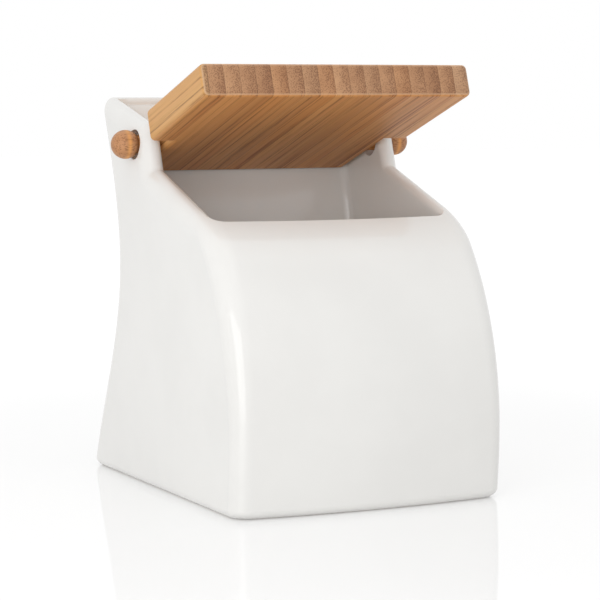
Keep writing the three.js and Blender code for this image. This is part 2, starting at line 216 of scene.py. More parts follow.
def rib_point(rib, z, inset, side_inset, radius, softening):
    side, rear_share, along_x, along_y = rib
    half = WIDTH / 2 - side_inset
    front = front_y(z) + inset * level_share(front_y, z)
    rear = rear_y(z) - inset * level_share(rear_y, z)
    front_radius = radius + softening * lip_share(z)
    if along_y < 0 or rear_share == 0:
        radius = front_radius
    x = side * (half - radius) + along_x * radius
    if abs(along_x) == 1 and abs(side) == 1:
        x = side * half
    centre_front = front + front_radius
    centre_rear = rear - (radius if rear_share == 1 else CORNER_RADIUS)
    y = centre_front + (centre_rear - centre_front) * rear_share + along_y * radius
    forward = (rear - y) / (rear - front)
    return (x, y - front_bow(z) * forward * (1 - (x / half) ** 2), z)


def level_ring(z, inset, side_inset, radius, softening=0.0):
    return [rib_point(rib, z, inset, side_inset, radius, softening) for rib in RIBS]


def slanted_ring(inset, drop):
    ring = []
    radius = max(CORNER_RADIUS - inset, LEAST_CORNER_RADIUS)
    for rib in RIBS:
        z = HINGE_Z
        for _ in range(SETTLE_ROUNDS):
            y = rib_point(rib, z, inset, inset, radius, SOFTENING)[1]
            z = (z + rim_height(y) - drop / math.cos(RIM_ANGLE)) / 2
        ring.append(rib_point(rib, z, inset, inset, radius, SOFTENING))
    return ring


# Meshes from rings, prisms and turned profiles, and cutting one with another.
def new_object(name, verts, faces):
    mesh = bpy.data.meshes.new(name)
    mesh.from_pydata([Vector(v) * MM for v in verts], [], faces)
    mesh.validate()
    work = bmesh.new()
    work.from_mesh(mesh)
    bmesh.ops.recalc_face_normals(work, faces=work.faces)
    work.to_mesh(mesh)
    work.free()
    piece = bpy.data.objects.new(name, mesh)
    bpy.context.scene.collection.objects.link(piece)
    return piece


def from_rings(name, rings):
    count = len(rings[0])
    verts = [point for ring in rings for point in ring]
    faces = []
    for level in range(len(rings) - 1):
        low = level * count
        for i in range(count):
            following = (i + 1) % count
            faces.append((low + i, low + following, low + count + following, low + count + i))
    faces.append(tuple(reversed(range(count))))
    top = (len(rings) - 1) * count
    faces.append(tuple(range(top, top + count)))
    return new_object(name, verts, faces)


def boolean(target, tool, operation):
    cut = target.modifiers.new("cut", "BOOLEAN")
    cut.operation = operation
    cut.object = tool
    cut.solver = "MANIFOLD"
    settle_modifiers(target)
    bpy.data.objects.remove(tool)
    return target


def settle_modifiers(piece):
    bpy.context.view_layer.update()
    depsgraph = bpy.context.evaluated_depsgraph_get()
    mesh = bpy.data.meshes.new_from_object(piece.evaluated_get(depsgraph))
    piece.modifiers.clear()
    piece.data = mesh


def smooth(piece, sharp_angle):
    work = bmesh.new()
    work.from_mesh(piece.data)
    bmesh.ops.remove_doubles(work, verts=work.verts, dist=WELD_DISTANCE * MM)
    bmesh.ops.dissolve_degenerate(work, edges=work.edges, dist=WELD_DISTANCE * MM)
    for face in work.faces:
        face.smooth = True
    for edge in work.edges:
        edge.smooth = len(edge.link_faces) == 2 and edge.calc_face_angle(0) <= sharp_angle
    work.to_mesh(piece.data)
    work.free()
    weighted = piece.modifiers.new("weighted", "WEIGHTED_NORMAL")
    weighted.keep_sharp = True
    weighted.weight = NORMAL_WEIGHT
    settle_modifiers(piece)


# Outline through [x, y, radius] corners, each rounded by its own radius.
def rounded_outline(corners, steps=EDGE_STEPS):
    outline = []
    for i, (x, y, radius) in enumerate(corners):
        corner = Vector((x, y))
        if radius == 0:
            outline.append(corner)
            continue
        before = (Vector(corners[i - 1][:2]) - corner).normalized()
        after = (Vector(corners[(i + 1) % len(corners)][:2]) - corner).normalized()
        half = math.acos(before.dot(after)) / 2
        centre = corner + (before + after).normalized() * radius / math.sin(half)
        reach = radius / math.tan(half)
        start = corner + before * reach - centre
        end = corner + after * reach - centre
        turn = math.copysign(math.pi - 2 * half, start.x * end.y - start.y * end.x)
        for step in range(steps + 1):
            angle = turn * step / steps
            cosine, sine = math.cos(angle), math.sin(angle)
            spoke = Vector((start.x * cosine - start.y * sine, start.x * sine + start.y * cosine))
            outline.append(centre + spoke)
    return outline


def prism_along_x(name, outline, start, end):
    return from_rings(name, [[(x, p[0], p[1]) for p in outline] for x in (start, end)])


def rod_along_x(name, profile):
    rings = []
    for x, radius in profile:
        turns = (2 * math.pi * i / ROUND_STEPS for i in range(ROUND_STEPS))
        rings.append([(x, radius * math.cos(a), radius * math.sin(a)) for a in turns])
    return from_rings(name, rings)


# Sections of the rounded outer edge and of the small inner edge of mouth, ears and top.
def edge_section():
    section = []
    for step in range(EDGE_STEPS + 1):
        angle = math.pi / 2 * step / EDGE_STEPS
        section.append((EDGE_INSET * (1 - math.cos(angle)), EDGE_DROP * (1 - math.sin(angle))))
    (inset, drop), (next_inset, next_drop) = section[:2]
    lead = (2 * inset - next_inset, 2 * drop - next_drop)
    for step in range(INNER_EDGE_STEPS + 1):
        angle = math.pi / 2 * step / INNER_EDGE_STEPS
        inset = SIDE_WALL - INNER_EDGE_RADIUS * (1 - math.sin(angle))
        section.append((inset, INNER_EDGE_RADIUS * (1 - math.cos(angle))))
    return [lead] + section


def under_the_slope():
    rings = [slanted_ring(-OVERRUN, CROWN_DEPTH + OVERRUN)]
    for inset, drop in edge_section():
        rings.append(slanted_ring(inset, drop))
    return from_rings("crown", rings)


def on_ear_front(shrink, line, line_angle):
    foot = HINGE_Y - EAR_REACH
    lean = math.tan(EAR_FRONT_LEAN)
    set_back = shrink / math.cos(EAR_FRONT_LEAN)
    y = foot + (set_back + (line(foot) - rim_height(foot)) * lean) / (1 - math.tan(line_angle) * lean)
    return y, line(y)


def ear_top_height(y, shrink=0.0):
    rise = (y - HINGE_Y) * math.tan(EAR_TOP_ANGLE)
    return HINGE_Z + EAR_TOP_ABOVE_HINGE + rise - shrink / math.cos(EAR_TOP_ANGLE)


def ear_outline(shrink):
    def slope(y):
        return rim_height(y) - shrink / math.cos(RIM_ANGLE)

    def ear_top(y):
        return ear_top_height(y, shrink)

    blend_y = HINGE_Y - EAR_REACH - EAR_BLEND_LENGTH
    far_rear = DEPTH / 2 + OVERRUN
    deep = rim_height(blend_y) - CROWN_DEPTH - OVERRUN
    top_radius = max(EAR_TOP_RADIUS - shrink, EAR_LEAST_RADIUS)
    return rounded_outline([
        (blend_y, deep, 0),
        (far_rear, deep, 0),
        (far_rear, ear_top(far_rear), 0),
        (*on_ear_front(shrink, ear_top, EAR_TOP_ANGLE), top_radius),
        (*on_ear_front(shrink, slope, RIM_ANGLE), EAR_FOOT_RADIUS + shrink),
        (blend_y, slope(blend_y) - SEAT_GAP, 0),
    ])


def ear_block():
    edge = edge_section()
    left = [(inset - WIDTH / 2, drop) for inset, drop in edge]
    right = [(WIDTH / 2 - inset, drop) for inset, drop in reversed(edge)]
    return from_rings("ears", [[(x, p[0], p[1]) for p in ear_outline(drop)] for x, drop in left + right])


# Between the ears the rear wall keeps its full height.
def rear_block():
    near = rear_y(HEIGHT) - WALL * level_share(rear_y, HEIGHT) - REAR_EDGE_RADIUS
    far = DEPTH / 2 + OVERRUN
    deep = rim_height(near) - CROWN_DEPTH - OVERRUN
    outline = [(near, deep), (far, deep), (far, ear_top_height(far)), (near, ear_top_height(near))]
    return prism_along_x("rear", outline, EDGE_INSET - WIDTH / 2, WIDTH / 2 - EDGE_INSET)


def above_the_crown():
    sink = CROWN_DEPTH / math.cos(RIM_ANGLE)
    far = DEPTH / 2 + OVERRUN
    sky = HEIGHT + OVERRUN
    outline = [(-far, rim_height(-far) - sink), (far, rim_height(far) - sink), (far, sky), (-far, sky)]
    return prism_along_x("above", outline, -WIDTH / 2 - OVERRUN, WIDTH / 2 + OVERRUN)


def outside_of_pot():
    rings = []
    for step in range(EDGE_STEPS + 1):
        angle = math.pi / 2 * step / EDGE_STEPS
        inset = FOOT_RADIUS * (1 - math.sin(angle))
        z = FOOT_RADIUS * (1 - math.cos(angle))
        rings.append(level_ring(z, inset, inset, CORNER_RADIUS, SOFTENING))
    end = HEIGHT - EDGE_DROP
    for step in range(1, PROFILE_STEPS + 1):
        z = FOOT_RADIUS + (end - FOOT_RADIUS) * step / PROFILE_STEPS
        rings.append(level_ring(z, 0, 0, CORNER_RADIUS, SOFTENING))
    for step in range(1, EDGE_STEPS + 1):
        angle = math.pi / 2 * step / EDGE_STEPS
        inset = EDGE_INSET * (1 - math.cos(angle))
        z = end + EDGE_DROP * math.sin(angle)
        rings.append(level_ring(z, inset, inset, CORNER_RADIUS - inset, SOFTENING))
    return from_rings("pot", rings)


def inside_of_pot():
    rings = []
    for step in range(EDGE_STEPS + 1):
        angle = math.pi / 2 * step / EDGE_STEPS
        edge = FLOOR_RADIUS * (1 - math.sin(angle))
        z = FLOOR + FLOOR_RADIUS * (1 - math.cos(angle))
        rings.append(level_ring(z, WALL + edge, SIDE_WALL + edge, INNER_CORNER_RADIUS))
    start = FLOOR + FLOOR_RADIUS
    end = HEIGHT - REAR_EDGE_RADIUS
    for step in range(1, PROFILE_STEPS + 1):
        z = start + (end - start) * step / PROFILE_STEPS
        rings.append(level_ring(z, WALL, SIDE_WALL, INNER_CORNER_RADIUS))
    for step in range(1, INNER_EDGE_STEPS + 1):
        angle = math.pi / 2 * step / INNER_EDGE_STEPS
        inset = WALL - REAR_EDGE_RADIUS * (1 - math.cos(angle))
        z = end + REAR_EDGE_RADIUS * math.sin(angle)
        rings.append(level_ring(z, inset, SIDE_WALL, INNER_CORNER_RADIUS))
    rings.append(level_ring(HEIGHT + OVERRUN, WALL - REAR_EDGE_RADIUS, SIDE_WALL, INNER_CORNER_RADIUS))
    return from_rings("inside", rings)


# The lip's blunt inner face, square to the slope, with the mouth's upper edge eased ahead of the ears.
def mouth_opening():
    half = WIDTH / 2 - SIDE_WALL
    levels = [(-MOUTH_DEPTH, 0)]
    for step in range(INNER_EDGE_STEPS + 1):
        angle = math.pi / 2 * step / INNER_EDGE_STEPS
        drop, grow = (INNER_EDGE_RADIUS * (1 - share) for share in (math.sin(angle), math.cos(angle)))
        levels.append((-drop, grow))
    levels.append((OVERRUN, INNER_EDGE_RADIUS))
    rings = []
    for z, grow in levels:
        corner_reach = MOUTH_REACH - MOUTH_BOW + grow
        side = half + grow
        radius = INNER_CORNER_RADIUS + grow
        corners = rounded_outline([
            (side, -corner_reach, radius), (side, MOUTH_REAR, 0),
            (-side, MOUTH_REAR, 0), (-side, -corner_reach, radius)])
        middle = [Vector(((2 * step / BOW_STEPS - 1) * (side - radius), -corner_reach))
                  for step in range(1, BOW_STEPS)]
        ring = []
        for point in corners + middle:
            forward = -point.y / corner_reach
            ring.append((point.x, point.y - MOUTH_BOW * forward * (1 - (point.x / side) ** 2), z))
        rings.append(ring)
    opening = from_rings("opening", rings)
    place = Matrix.Translation((0, HINGE_Y * MM, (HINGE_Z - RIM_BELOW_HINGE) * MM))
    opening.data.transform(place @ Matrix.Rotation(RIM_ANGLE, 4, "X"))
    return opening


def ear_hole(side):
    outer = WIDTH / 2
    profile = [(outer - SIDE_WALL - OVERRUN, HOLE_RADIUS)]
    for step in range(HOLE_STEPS + 1):
        angle = math.pi / 2 * step / HOLE_STEPS
        x = outer - HOLE_EDGE_RADIUS * (1 - math.sin(angle))
        profile.append((x, HOLE_RADIUS + HOLE_EDGE_RADIUS * (1 - math.cos(angle))))
    profile.append((outer + OVERRUN, HOLE_RADIUS + HOLE_EDGE_RADIUS))
    rod = rod_along_x("hole", [(x * side, radius) for x, radius in profile])
    rod.data.transform(Matrix.Translation((0, HINGE_Y * MM, HINGE_Z * MM)))
    return rod


def make_pot():
    crown = boolean(under_the_slope(), ear_block(), "UNION")
    boolean(crown, rear_block(), "UNION")
    waste = boolean(above_the_crown(), crown, "DIFFERENCE")
    pot = boolean(outside_of_pot(), waste, "DIFFERENCE")
    boolean(pot, inside_of_pot(), "DIFFERENCE")
    boolean(pot, mouth_opening(), "DIFFERENCE")
    boolean(pot, ear_hole(1), "DIFFERENCE")
    boolean(pot, ear_hole(-1), "DIFFERENCE")
    foot_inset = FOOT_RADIUS + FOOT_RING_WIDTH
    ring = level_ring(0, foot_inset, foot_inset, INNER_CORNER_RADIUS)
    recess = from_rings("recess", [[(x, y, z) for x, y, _ in ring] for z in (-OVERRUN, FOOT_RECESS)])
    boolean(pot, recess, "DIFFERENCE")
    smooth(pot, POT_SHARP_ANGLE)
    pot.name = "glazed_pot"
    return pot


# Lid: a T-shaped board with all its edges eased, split into staves.
LID_FRAME = Matrix.Translation((0, HINGE_Y * MM, HINGE_Z * MM)) @ Matrix.Rotation(-OPEN_ANGLE, 4, "X")


def make_board():
    half = WIDTH / 2
    front = -SHOULDER - WIDE_LENGTH
    back = -SHOULDER
    under = -HINGE_ABOVE_UNDERSIDE
    over = under + LID_THICKNESS
    plan = [(-half, front), (half, front), (half, back),
            (HALF_TONGUE, back), (HALF_TONGUE, TONGUE_REACH),
            (-HALF_TONGUE, TONGUE_REACH), (-HALF_TONGUE, back), (-half, back)]
    board = from_rings("board", [[(x, y, z) for x, y in plan] for z in (under, over)])
    work = bmesh.new()
    work.from_mesh(board.data)
    edges = [edge for edge in work.edges if edge.calc_face_angle_signed(0) > CREASE_ANGLE]
    bmesh.ops.bevel(work, geom=edges, offset=LID_EDGE_RADIUS * MM, offset_type="OFFSET",
                    segments=BEVEL_SEGMENTS, profile=ROUND_PROFILE, affect="EDGES", clamp_overlap=False)
    work.to_mesh(board.data)
    work.free()
    radius = TENON_RADIUS + SEAT_GAP
    for side in (1, -1):
        inner = (HALF_TONGUE - TENON_LENGTH - SEAT_GAP) * side
        hole = rod_along_x("tenon_hole", [(inner, radius), ((HALF_TONGUE + OVERRUN) * side, radius)])
        boolean(board, hole, "DIFFERENCE")
    return board


def make_staves():
    board = make_board()
    joints = [-WIDTH / 2 - OVERRUN]
    for stave in range(FULL_STAVES + 1):
        joints.append((LEFT_STAVE_SHARE + stave) * STAVE_WIDTH - WIDTH / 2)
    joints.append(WIDTH / 2 + OVERRUN)
    staves = []
    for i in range(len(joints) - 1):
        stave = board.copy()
        stave.data = board.data.copy()
        bpy.context.scene.collection.objects.link(stave)
        slab = [(-DEPTH, -LID_THICKNESS), (DEPTH, -LID_THICKNESS),
                (DEPTH, LID_THICKNESS), (-DEPTH, LID_THICKNESS)]
        boolean(stave, prism_along_x("slab", slab, joints[i], joints[i + 1]), "INTERSECT")
        stave.data.transform(LID_FRAME)
        smooth(stave, STAVE_SHARP_ANGLE)
        stave.name = f"bamboo_stave_{i + 1:02d}"
        staves.append((stave, joints[i], joints[i + 1]))
    bpy.data.objects.remove(board)
    return staves


def make_peg(side):
    start = HALF_TONGUE + SEAT_GAP
    tip = WIDTH / 2 + PEG_REACH
    inner = start - TENON_LENGTH
    profile = [(inner, POINT_RADIUS), (inner, TENON_RADIUS - PEG_EASE), (inner + PEG_EASE, TENON_RADIUS),
               (start, TENON_RADIUS), (start, SHAFT_RADIUS - PEG_EASE), (start + PEG_EASE, SHAFT_RADIUS)]
    neck = -math.acos(SHAFT_RADIUS / BALL_RADIUS)
    for step in range(BALL_STEPS):
        angle = neck + (math.pi / 2 - neck) * step / BALL_STEPS
        profile.append((tip - BALL_RADIUS * (1 - math.sin(angle)), BALL_RADIUS * math.cos(angle)))
    profile.append((tip, POINT_RADIUS))
    peg = rod_along_x("peg", [(x * side, radius) for x, radius in profile])
    peg.data.transform(LID_FRAME)
    smooth(peg, PEG_SHARP_ANGLE)
    return peg


# Node materials. Colours are written as they look on a screen, scales are per metre.
SCREEN_WHITE = 255
SCREEN_KNEE = 0.04045
SCREEN_SLOPE = 12.92
SCREEN_OFFSET = 0.055
SCREEN_GAMMA = 2.4
WHITE = (1, 1, 1, 1)


def linear(red, green, blue):
    def channel(value):
        value /= SCREEN_WHITE
        if value <= SCREEN_KNEE:
            return value / SCREEN_SLOPE
        return ((value + SCREEN_OFFSET) / (1 + SCREEN_OFFSET)) ** SCREEN_GAMMA
    return (channel(red), channel(green), channel(blue), 1)


class Nodes:
    def __init__(self, tree):
        self.tree = tree
        tree.nodes.clear()

    def node(self, kind, values=None, **settings):
        node = self.tree.nodes.new(kind)
        for key, value in settings.items():
            setattr(node, key, value)
        for key, value in (values or {}).items():
            self.put(node.inputs[key], value)
        return node

    def put(self, socket, value):
        if isinstance(value, bpy.types.NodeSocket):
            self.tree.links.new(value, socket)
        else:
            socket.default_value = value

    def math(self, operation, first, second=0.0, third=0.0):
        return self.node("ShaderNodeMath", {0: first, 1: second, 2: third}, operation=operation).outputs[0]

    def vector(self, operation, first, second=(0, 0, 0), output="Vector"):
        return self.node("ShaderNodeVectorMath", {0: first, 1: second}, operation=operation).outputs[output]

    def smoothstep(self, value, low, high, to_low=0.0, to_high=1.0):
        limits = {"Value": value, "From Min": low, "From Max": high, "To Min": to_low, "To Max": to_high}
        return self.node("ShaderNodeMapRange", limits, interpolation_type="SMOOTHSTEP").outputs[0]

    def mix(self, share, first, second, blend="MIX"):
        node = self.node("ShaderNodeMix", data_type="RGBA", blend_type=blend)
        self.put(node.inputs[0], share)
        self.put(node.inputs[6], first)
        self.put(node.inputs[7], second)
        return node.outputs[2]

    def mix_shaders(self, share, first, second):
        return self.node("ShaderNodeMixShader", {0: share, 1: first.outputs[0], 2: second.outputs[0]})

    def noise(self, vector, scale, detail=2.0, roughness=0.5):
        pattern = {"Vector": vector, "Scale": scale, "Detail": detail, "Roughness": roughness}
        return self.node("ShaderNodeTexNoise", pattern).outputs[0]

    def stretched(self, vector, location=(0, 0, 0), rotation=(0, 0, 0), scale=(1, 1, 1)):
        place = {"Vector": vector, "Location": location, "Rotation": rotation, "Scale": scale}
        return self.node("ShaderNodeMapping", place).outputs[0]

    def position(self):
        return self.node("ShaderNodeTexCoord").outputs["Object"]

    def lid_position(self):
        origin = Matrix.Rotation(OPEN_ANGLE, 3, "X") @ Vector((0, HINGE_Y * MM, HINGE_Z * MM))
        return self.stretched(self.position(), tuple(-origin), (OPEN_ANGLE, 0, 0))

    # 1 for what the camera, a reflection or clear glass sees, 0 for what only lights other surfaces.
    def seen_directly(self):
        path = self.node("ShaderNodeLightPath")
        seen = self.math("MAXIMUM", path.outputs["Is Camera Ray"], path.outputs["Is Glossy Ray"])
        return self.math("MAXIMUM", seen, path.outputs["Is Transmission Ray"])

    def surface(self, color, roughness, relief, bump_strength, bump_depth, ior):
        bump = {"Height": relief, "Strength": bump_strength, "Distance": bump_depth}
        normal = self.node("ShaderNodeBump", bump).outputs[0]
        look = {"Base Color": color, "Roughness": roughness, "Normal": normal, "IOR": ior}
        shader = self.node("ShaderNodeBsdfPrincipled", look)
        self.node("ShaderNodeOutputMaterial", {0: shader.outputs[0]})


def new_material(name):
    material = bpy.data.materials.new(name)
    material.use_nodes = True
    return material, Nodes(material.node_tree)


# Glaze with faint clouds, specks, a slow ripple and orange peel, and a bare foot ring. The lines
# between bare and glazed foot are heights in millimetres, and so is the depth of the relief.
GLAZE_LIGHT = (241, 240, 237)
GLAZE_DARK = (238, 237, 234)
SPECK = (196, 190, 180)
BISCUIT_DARK = (222, 214, 202)
BISCUIT_LIGHT = (238, 231, 220)
CLOUD_SCALE, CLOUD_DETAIL, CLOUD_GRAIN = 14.0, 3.0, 0.55
CLOUD_COLOR_LIMITS = (0.35, 0.65)
CLOUD_GLOSS_LIMITS = (0.3, 0.7)
SPECK_SCALE = 900.0
SPECK_LIMITS = (0.80, 0.86)
BISCUIT_SCALE, BISCUIT_DETAIL, BISCUIT_GRAIN = 2600.0, 3.0, 0.6
RIPPLE_SCALE = 55.0
PEEL_SCALE = 420.0
PEEL_SHARE = 0.12
BISCUIT_SHARE = 0.4
GLAZE_LINE = 0.7
BARE_LINE = 0.3
GLAZE_ROUGHNESS = (0.11, 0.16)
BISCUIT_ROUGHER = 0.6
GLAZE_BUMP = 0.22
GLAZE_RELIEF = 0.2
GLAZE_IOR = 1.52


def porcelain_material():
    material, nodes = new_material("white_porcelain")
    place = nodes.position()
    height = nodes.node("ShaderNodeSeparateXYZ", {0: place}).outputs[2]
    foot = nodes.smoothstep(height, GLAZE_LINE * MM, BARE_LINE * MM)
    cloud = nodes.noise(place, CLOUD_SCALE, CLOUD_DETAIL, CLOUD_GRAIN)
    speck = nodes.smoothstep(nodes.noise(place, SPECK_SCALE), *SPECK_LIMITS)
    biscuit_grain = nodes.noise(place, BISCUIT_SCALE, BISCUIT_DETAIL, BISCUIT_GRAIN)

    clouded = nodes.smoothstep(cloud, *CLOUD_COLOR_LIMITS)
    glaze = nodes.mix(clouded, linear(*GLAZE_LIGHT), linear(*GLAZE_DARK))
    glaze = nodes.mix(speck, glaze, linear(*SPECK))
    biscuit = nodes.mix(biscuit_grain, linear(*BISCUIT_DARK), linear(*BISCUIT_LIGHT))
    color = nodes.mix(foot, glaze, biscuit)

    relief = nodes.math("MULTIPLY_ADD", nodes.noise(place, PEEL_SCALE), PEEL_SHARE,
                        nodes.noise(place, RIPPLE_SCALE))
    relief = nodes.math("MULTIPLY_ADD", nodes.math("MULTIPLY", biscuit_grain, foot), BISCUIT_SHARE, relief)
    gloss = nodes.smoothstep(cloud, *CLOUD_GLOSS_LIMITS, *GLAZE_ROUGHNESS)
    roughness = nodes.math("MULTIPLY_ADD", foot, BISCUIT_ROUGHER, gloss)
    nodes.surface(color, roughness, relief, GLAZE_BUMP, GLAZE_RELIEF * MM, GLAZE_IOR)
    return material


# Bamboo colours: of the end grain and its fibre bundles, and of the faces along the fibres.
END_LIGHT = (192, 144, 104)
END_DARK = (150, 102, 67)
END_BUNDLE = (108, 68, 42)
# Painted highlight: a paler colour on the lid's rounded edges, where end grain turns into side grain and
# catches the light.
EDGE_HIGHLIGHT = (214, 172, 138)
LONG_LIGHT = (220, 165, 103)
LONG_DARK = (188, 118, 58)
LONG_STREAK = (116, 60, 22)
# Painted shade: a darker, browner tint multiplied into the lid's faces that look down, as if in shadow
# under the board.
UNDERSIDE_SHADE_TINT = (0.96, 0.78, 0.60, 1)
BRIGHT_SHARE = 1.05
JOINT_SHARE = 0.75

# How squarely a face cuts the fibres where end grain begins, and where it fills the face.
END_GRAIN_LIMITS = {"X": (0.0, 0.25), "Y": (0.55, 0.92)}

# Each pattern's scale across the fibres and along them. The glue line and the relief are in
# millimetres, and so is how far the fibres wander.
BUNDLE_SCALES = (1000, 14)
STREAK_SCALES = (620, 6)
BROAD_SCALES = (120, 3)
WANDER_SCALE = 60
WANDER_REACH = 0.6
SEED_STEP = (0.013, 0.017, 0.011)

BUNDLE_DENSITY = 1.3
BUNDLE_SCATTER = 0.9
BUNDLE_RADII = (0.34, 0.50)
BUNDLE_EDGE = (-0.10, 0.16)
BUNDLE_STRENGTH = 0.62
STREAK_DETAIL, STREAK_GRAIN = 3.0, 0.6
DARK_STREAK_LIMITS = (0.50, 0.72)
DARK_STREAK_STRENGTH = 0.7
LIGHT_STREAK_LIMITS = (0.46, 0.26)
LIGHT_STREAK_STRENGTH = 0.4
BROAD_LIMITS = (0.3, 0.7)
BROAD_STRENGTH = 0.30
DENSE_STRENGTH = 0.40
LONG_DEPTH_SHARE = 0.7
# Painted shade on the lid's underside: how far its faces must turn down before they darken, and how much.
UNDERSIDE_SHADE_LIMITS = (0.5, 0.95)
UNDERSIDE_SHADE_STRENGTH = 0.8
GLUE_LINE = 0.42
GLUE_LINE_CORE = 0.05
GLUE_LINE_STRENGTH = 0.5
# How strongly the painted edge highlight shows on the lid's rounded edges.
EDGE_HIGHLIGHT_STRENGTH = 2.4
BUNDLE_RELIEF = -0.5
STREAK_GLOSS_LIMITS = (0.2, 0.8)
BAMBOO_ROUGHNESS = (0.40, 0.58)
BAMBOO_BUMP = 0.4
BAMBOO_RELIEF = 0.12
BAMBOO_IOR = 1.48


def bamboo(name, fibre_axis, start, end, tone, seed):
    """Bamboo as a solid: fibres run along one axis and show as dots on the end grain.

    They lie denser from start to end across the piece, in millimetres.
    """
    material, nodes = new_material(name)
    of_lid = fibre_axis == "Y"
    fibre = (0, math.cos(OPEN_ANGLE), -math.sin(OPEN_ANGLE)) if of_lid else (1, 0, 0)
    lid_down = (0, -math.sin(OPEN_ANGLE), -math.cos(OPEN_ANGLE))

    def toned(red, green, blue, share=1.0):
        shifted = (value * share + shift for value, shift in zip((red, green, blue), tone))
        return linear(*(min(SCREEN_WHITE, max(0, value)) for value in shifted))

    def along_fibres(vector, scales):
        across, along = scales
        return nodes.stretched(vector, scale=(across, along, across) if of_lid else (along, across, across))

    normal = nodes.node("ShaderNodeTexCoord").outputs["Normal"]
    facing = nodes.math("ABSOLUTE", nodes.vector("DOT_PRODUCT", normal, fibre, "Value"))
    end_grain = nodes.smoothstep(facing, *END_GRAIN_LIMITS[fibre_axis])

    place = nodes.lid_position()
    across = nodes.node("ShaderNodeSeparateXYZ", {0: place}).outputs[0]
    dense = nodes.smoothstep(across, start * MM, end * MM)
    wander = nodes.noise(nodes.stretched(place, (seed,) * 3, scale=(WANDER_SCALE,) * 3), 1.0)
    drift = nodes.node("ShaderNodeVectorMath", {0: wander, "Scale": WANDER_REACH * MM}, operation="SCALE")
    bent = nodes.vector("ADD", place, tuple(seed * step for step in SEED_STEP))
    bent = nodes.vector("ADD", bent, drift.outputs[0])

    place_in_bundle = along_fibres(bent, BUNDLE_SCALES)
    pattern = {"Vector": place_in_bundle, "Scale": BUNDLE_DENSITY, "Randomness": BUNDLE_SCATTER}
    distance = nodes.node("ShaderNodeTexVoronoi", pattern).outputs[0]
    radius = nodes.smoothstep(dense, 0.0, 1.0, *BUNDLE_RADII)
    bundle = nodes.smoothstep(nodes.math("SUBTRACT", radius, distance), *BUNDLE_EDGE)
    streak = nodes.noise(along_fibres(bent, STREAK_SCALES), 1.0, STREAK_DETAIL, STREAK_GRAIN)
    broad = nodes.noise(along_fibres(bent, BROAD_SCALES), 1.0)
    broad = nodes.smoothstep(broad, *BROAD_LIMITS, 0.0, BROAD_STRENGTH)
    depth = nodes.math("MULTIPLY_ADD", dense, DENSE_STRENGTH, broad)

    end_ground = nodes.mix(depth, toned(*END_LIGHT), toned(*END_DARK))
    end_color = nodes.mix(nodes.math("MULTIPLY", bundle, BUNDLE_STRENGTH), end_ground, toned(*END_BUNDLE))
    long_depth = nodes.math("MULTIPLY", depth, LONG_DEPTH_SHARE)
    long_color = nodes.mix(long_depth, toned(*LONG_LIGHT), toned(*LONG_DARK))
    dark_streak = nodes.smoothstep(streak, *DARK_STREAK_LIMITS, 0.0, DARK_STREAK_STRENGTH)
    long_color = nodes.mix(dark_streak, long_color, toned(*LONG_STREAK))
    light_streak = nodes.smoothstep(streak, *LIGHT_STREAK_LIMITS, 0.0, LIGHT_STREAK_STRENGTH)
    long_color = nodes.mix(light_streak, long_color, toned(*LONG_LIGHT, BRIGHT_SHARE))
    if of_lid:
        # Painted shade: the lid's downward faces are darkened as if in the shadow under the board.
        down = nodes.vector("DOT_PRODUCT", normal, lid_down, "Value")
        underside_shade = nodes.math("MULTIPLY", nodes.smoothstep(down, *UNDERSIDE_SHADE_LIMITS), UNDERSIDE_SHADE_STRENGTH)
        long_color = nodes.mix(underside_shade, long_color, UNDERSIDE_SHADE_TINT, "MULTIPLY")
    color = nodes.mix(end_grain, long_color, end_color)
    if of_lid:
        to_joint = nodes.math("SUBTRACT", end * MM, across)
        glue_line = nodes.smoothstep(to_joint, GLUE_LINE * MM, GLUE_LINE_CORE * MM)
        glue_line = nodes.math("MULTIPLY", glue_line, GLUE_LINE_STRENGTH)
        color = nodes.mix(glue_line, color, toned(*END_BUNDLE, JOINT_SHARE))
        # Painted highlight: the rounded edges between end grain and side grain are lightened as if catching
        # the light.
        edge_highlight = nodes.math("MULTIPLY", end_grain, nodes.math("SUBTRACT", 1.0, end_grain))
        color = nodes.mix(nodes.math("MULTIPLY", edge_highlight, EDGE_HIGHLIGHT_STRENGTH), color, toned(*EDGE_HIGHLIGHT))

    relief = nodes.math("MULTIPLY_ADD", bundle, BUNDLE_RELIEF, streak)
    roughness = nodes.smoothstep(streak, *STREAK_GLOSS_LIMITS, *BAMBOO_ROUGHNESS)
    nodes.surface(color, roughness, relief, BAMBOO_BUMP, BAMBOO_RELIEF * MM, BAMBOO_IOR)
    return material


def dress(piece, material):
    piece.data.materials.clear()
    piece.data.materials.append(material)


# Pieces of the object. Each stave and the pegs are shifted from the plain bamboo colour by a tone.
PLAIN = (0, 0, 0)
WARM = (3, 0, -3)
PALE = (7, 7, 6)
DARK = (-8, -8, -7)
GREY = (-1, 1, 2)
SIDE = (4, 9, 6)
ASHEN = (8, 12, 14)
TURNED = (10, 2, -4)
STAVE_TONES = [
    SIDE, PLAIN, PALE, PLAIN, DARK, WARM, PLAIN, GREY, WARM,
    PALE, PLAIN, GREY, PLAIN, WARM, PLAIN, DARK, PLAIN, ASHEN,
]
PEG_SEED = 20
PEG_DENSE_STAVES = 3

pot = make_pot()
dress(pot, porcelain_material())
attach(pot, "canister")
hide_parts("porcelain_body")

for i, (stave, start, end) in enumerate(make_staves()):
    number = i + 1
    start = max(start, -WIDTH / 2 - STAVE_WIDTH * (1 - LEFT_STAVE_SHARE))
    end = min(end, WIDTH / 2)
    dress(stave, bamboo(f"bamboo_strip_{number:02d}", "Y", start, end, STAVE_TONES[i], number))
    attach(stave, "lid")
    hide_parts(f"lid_stave_{number:02d}")

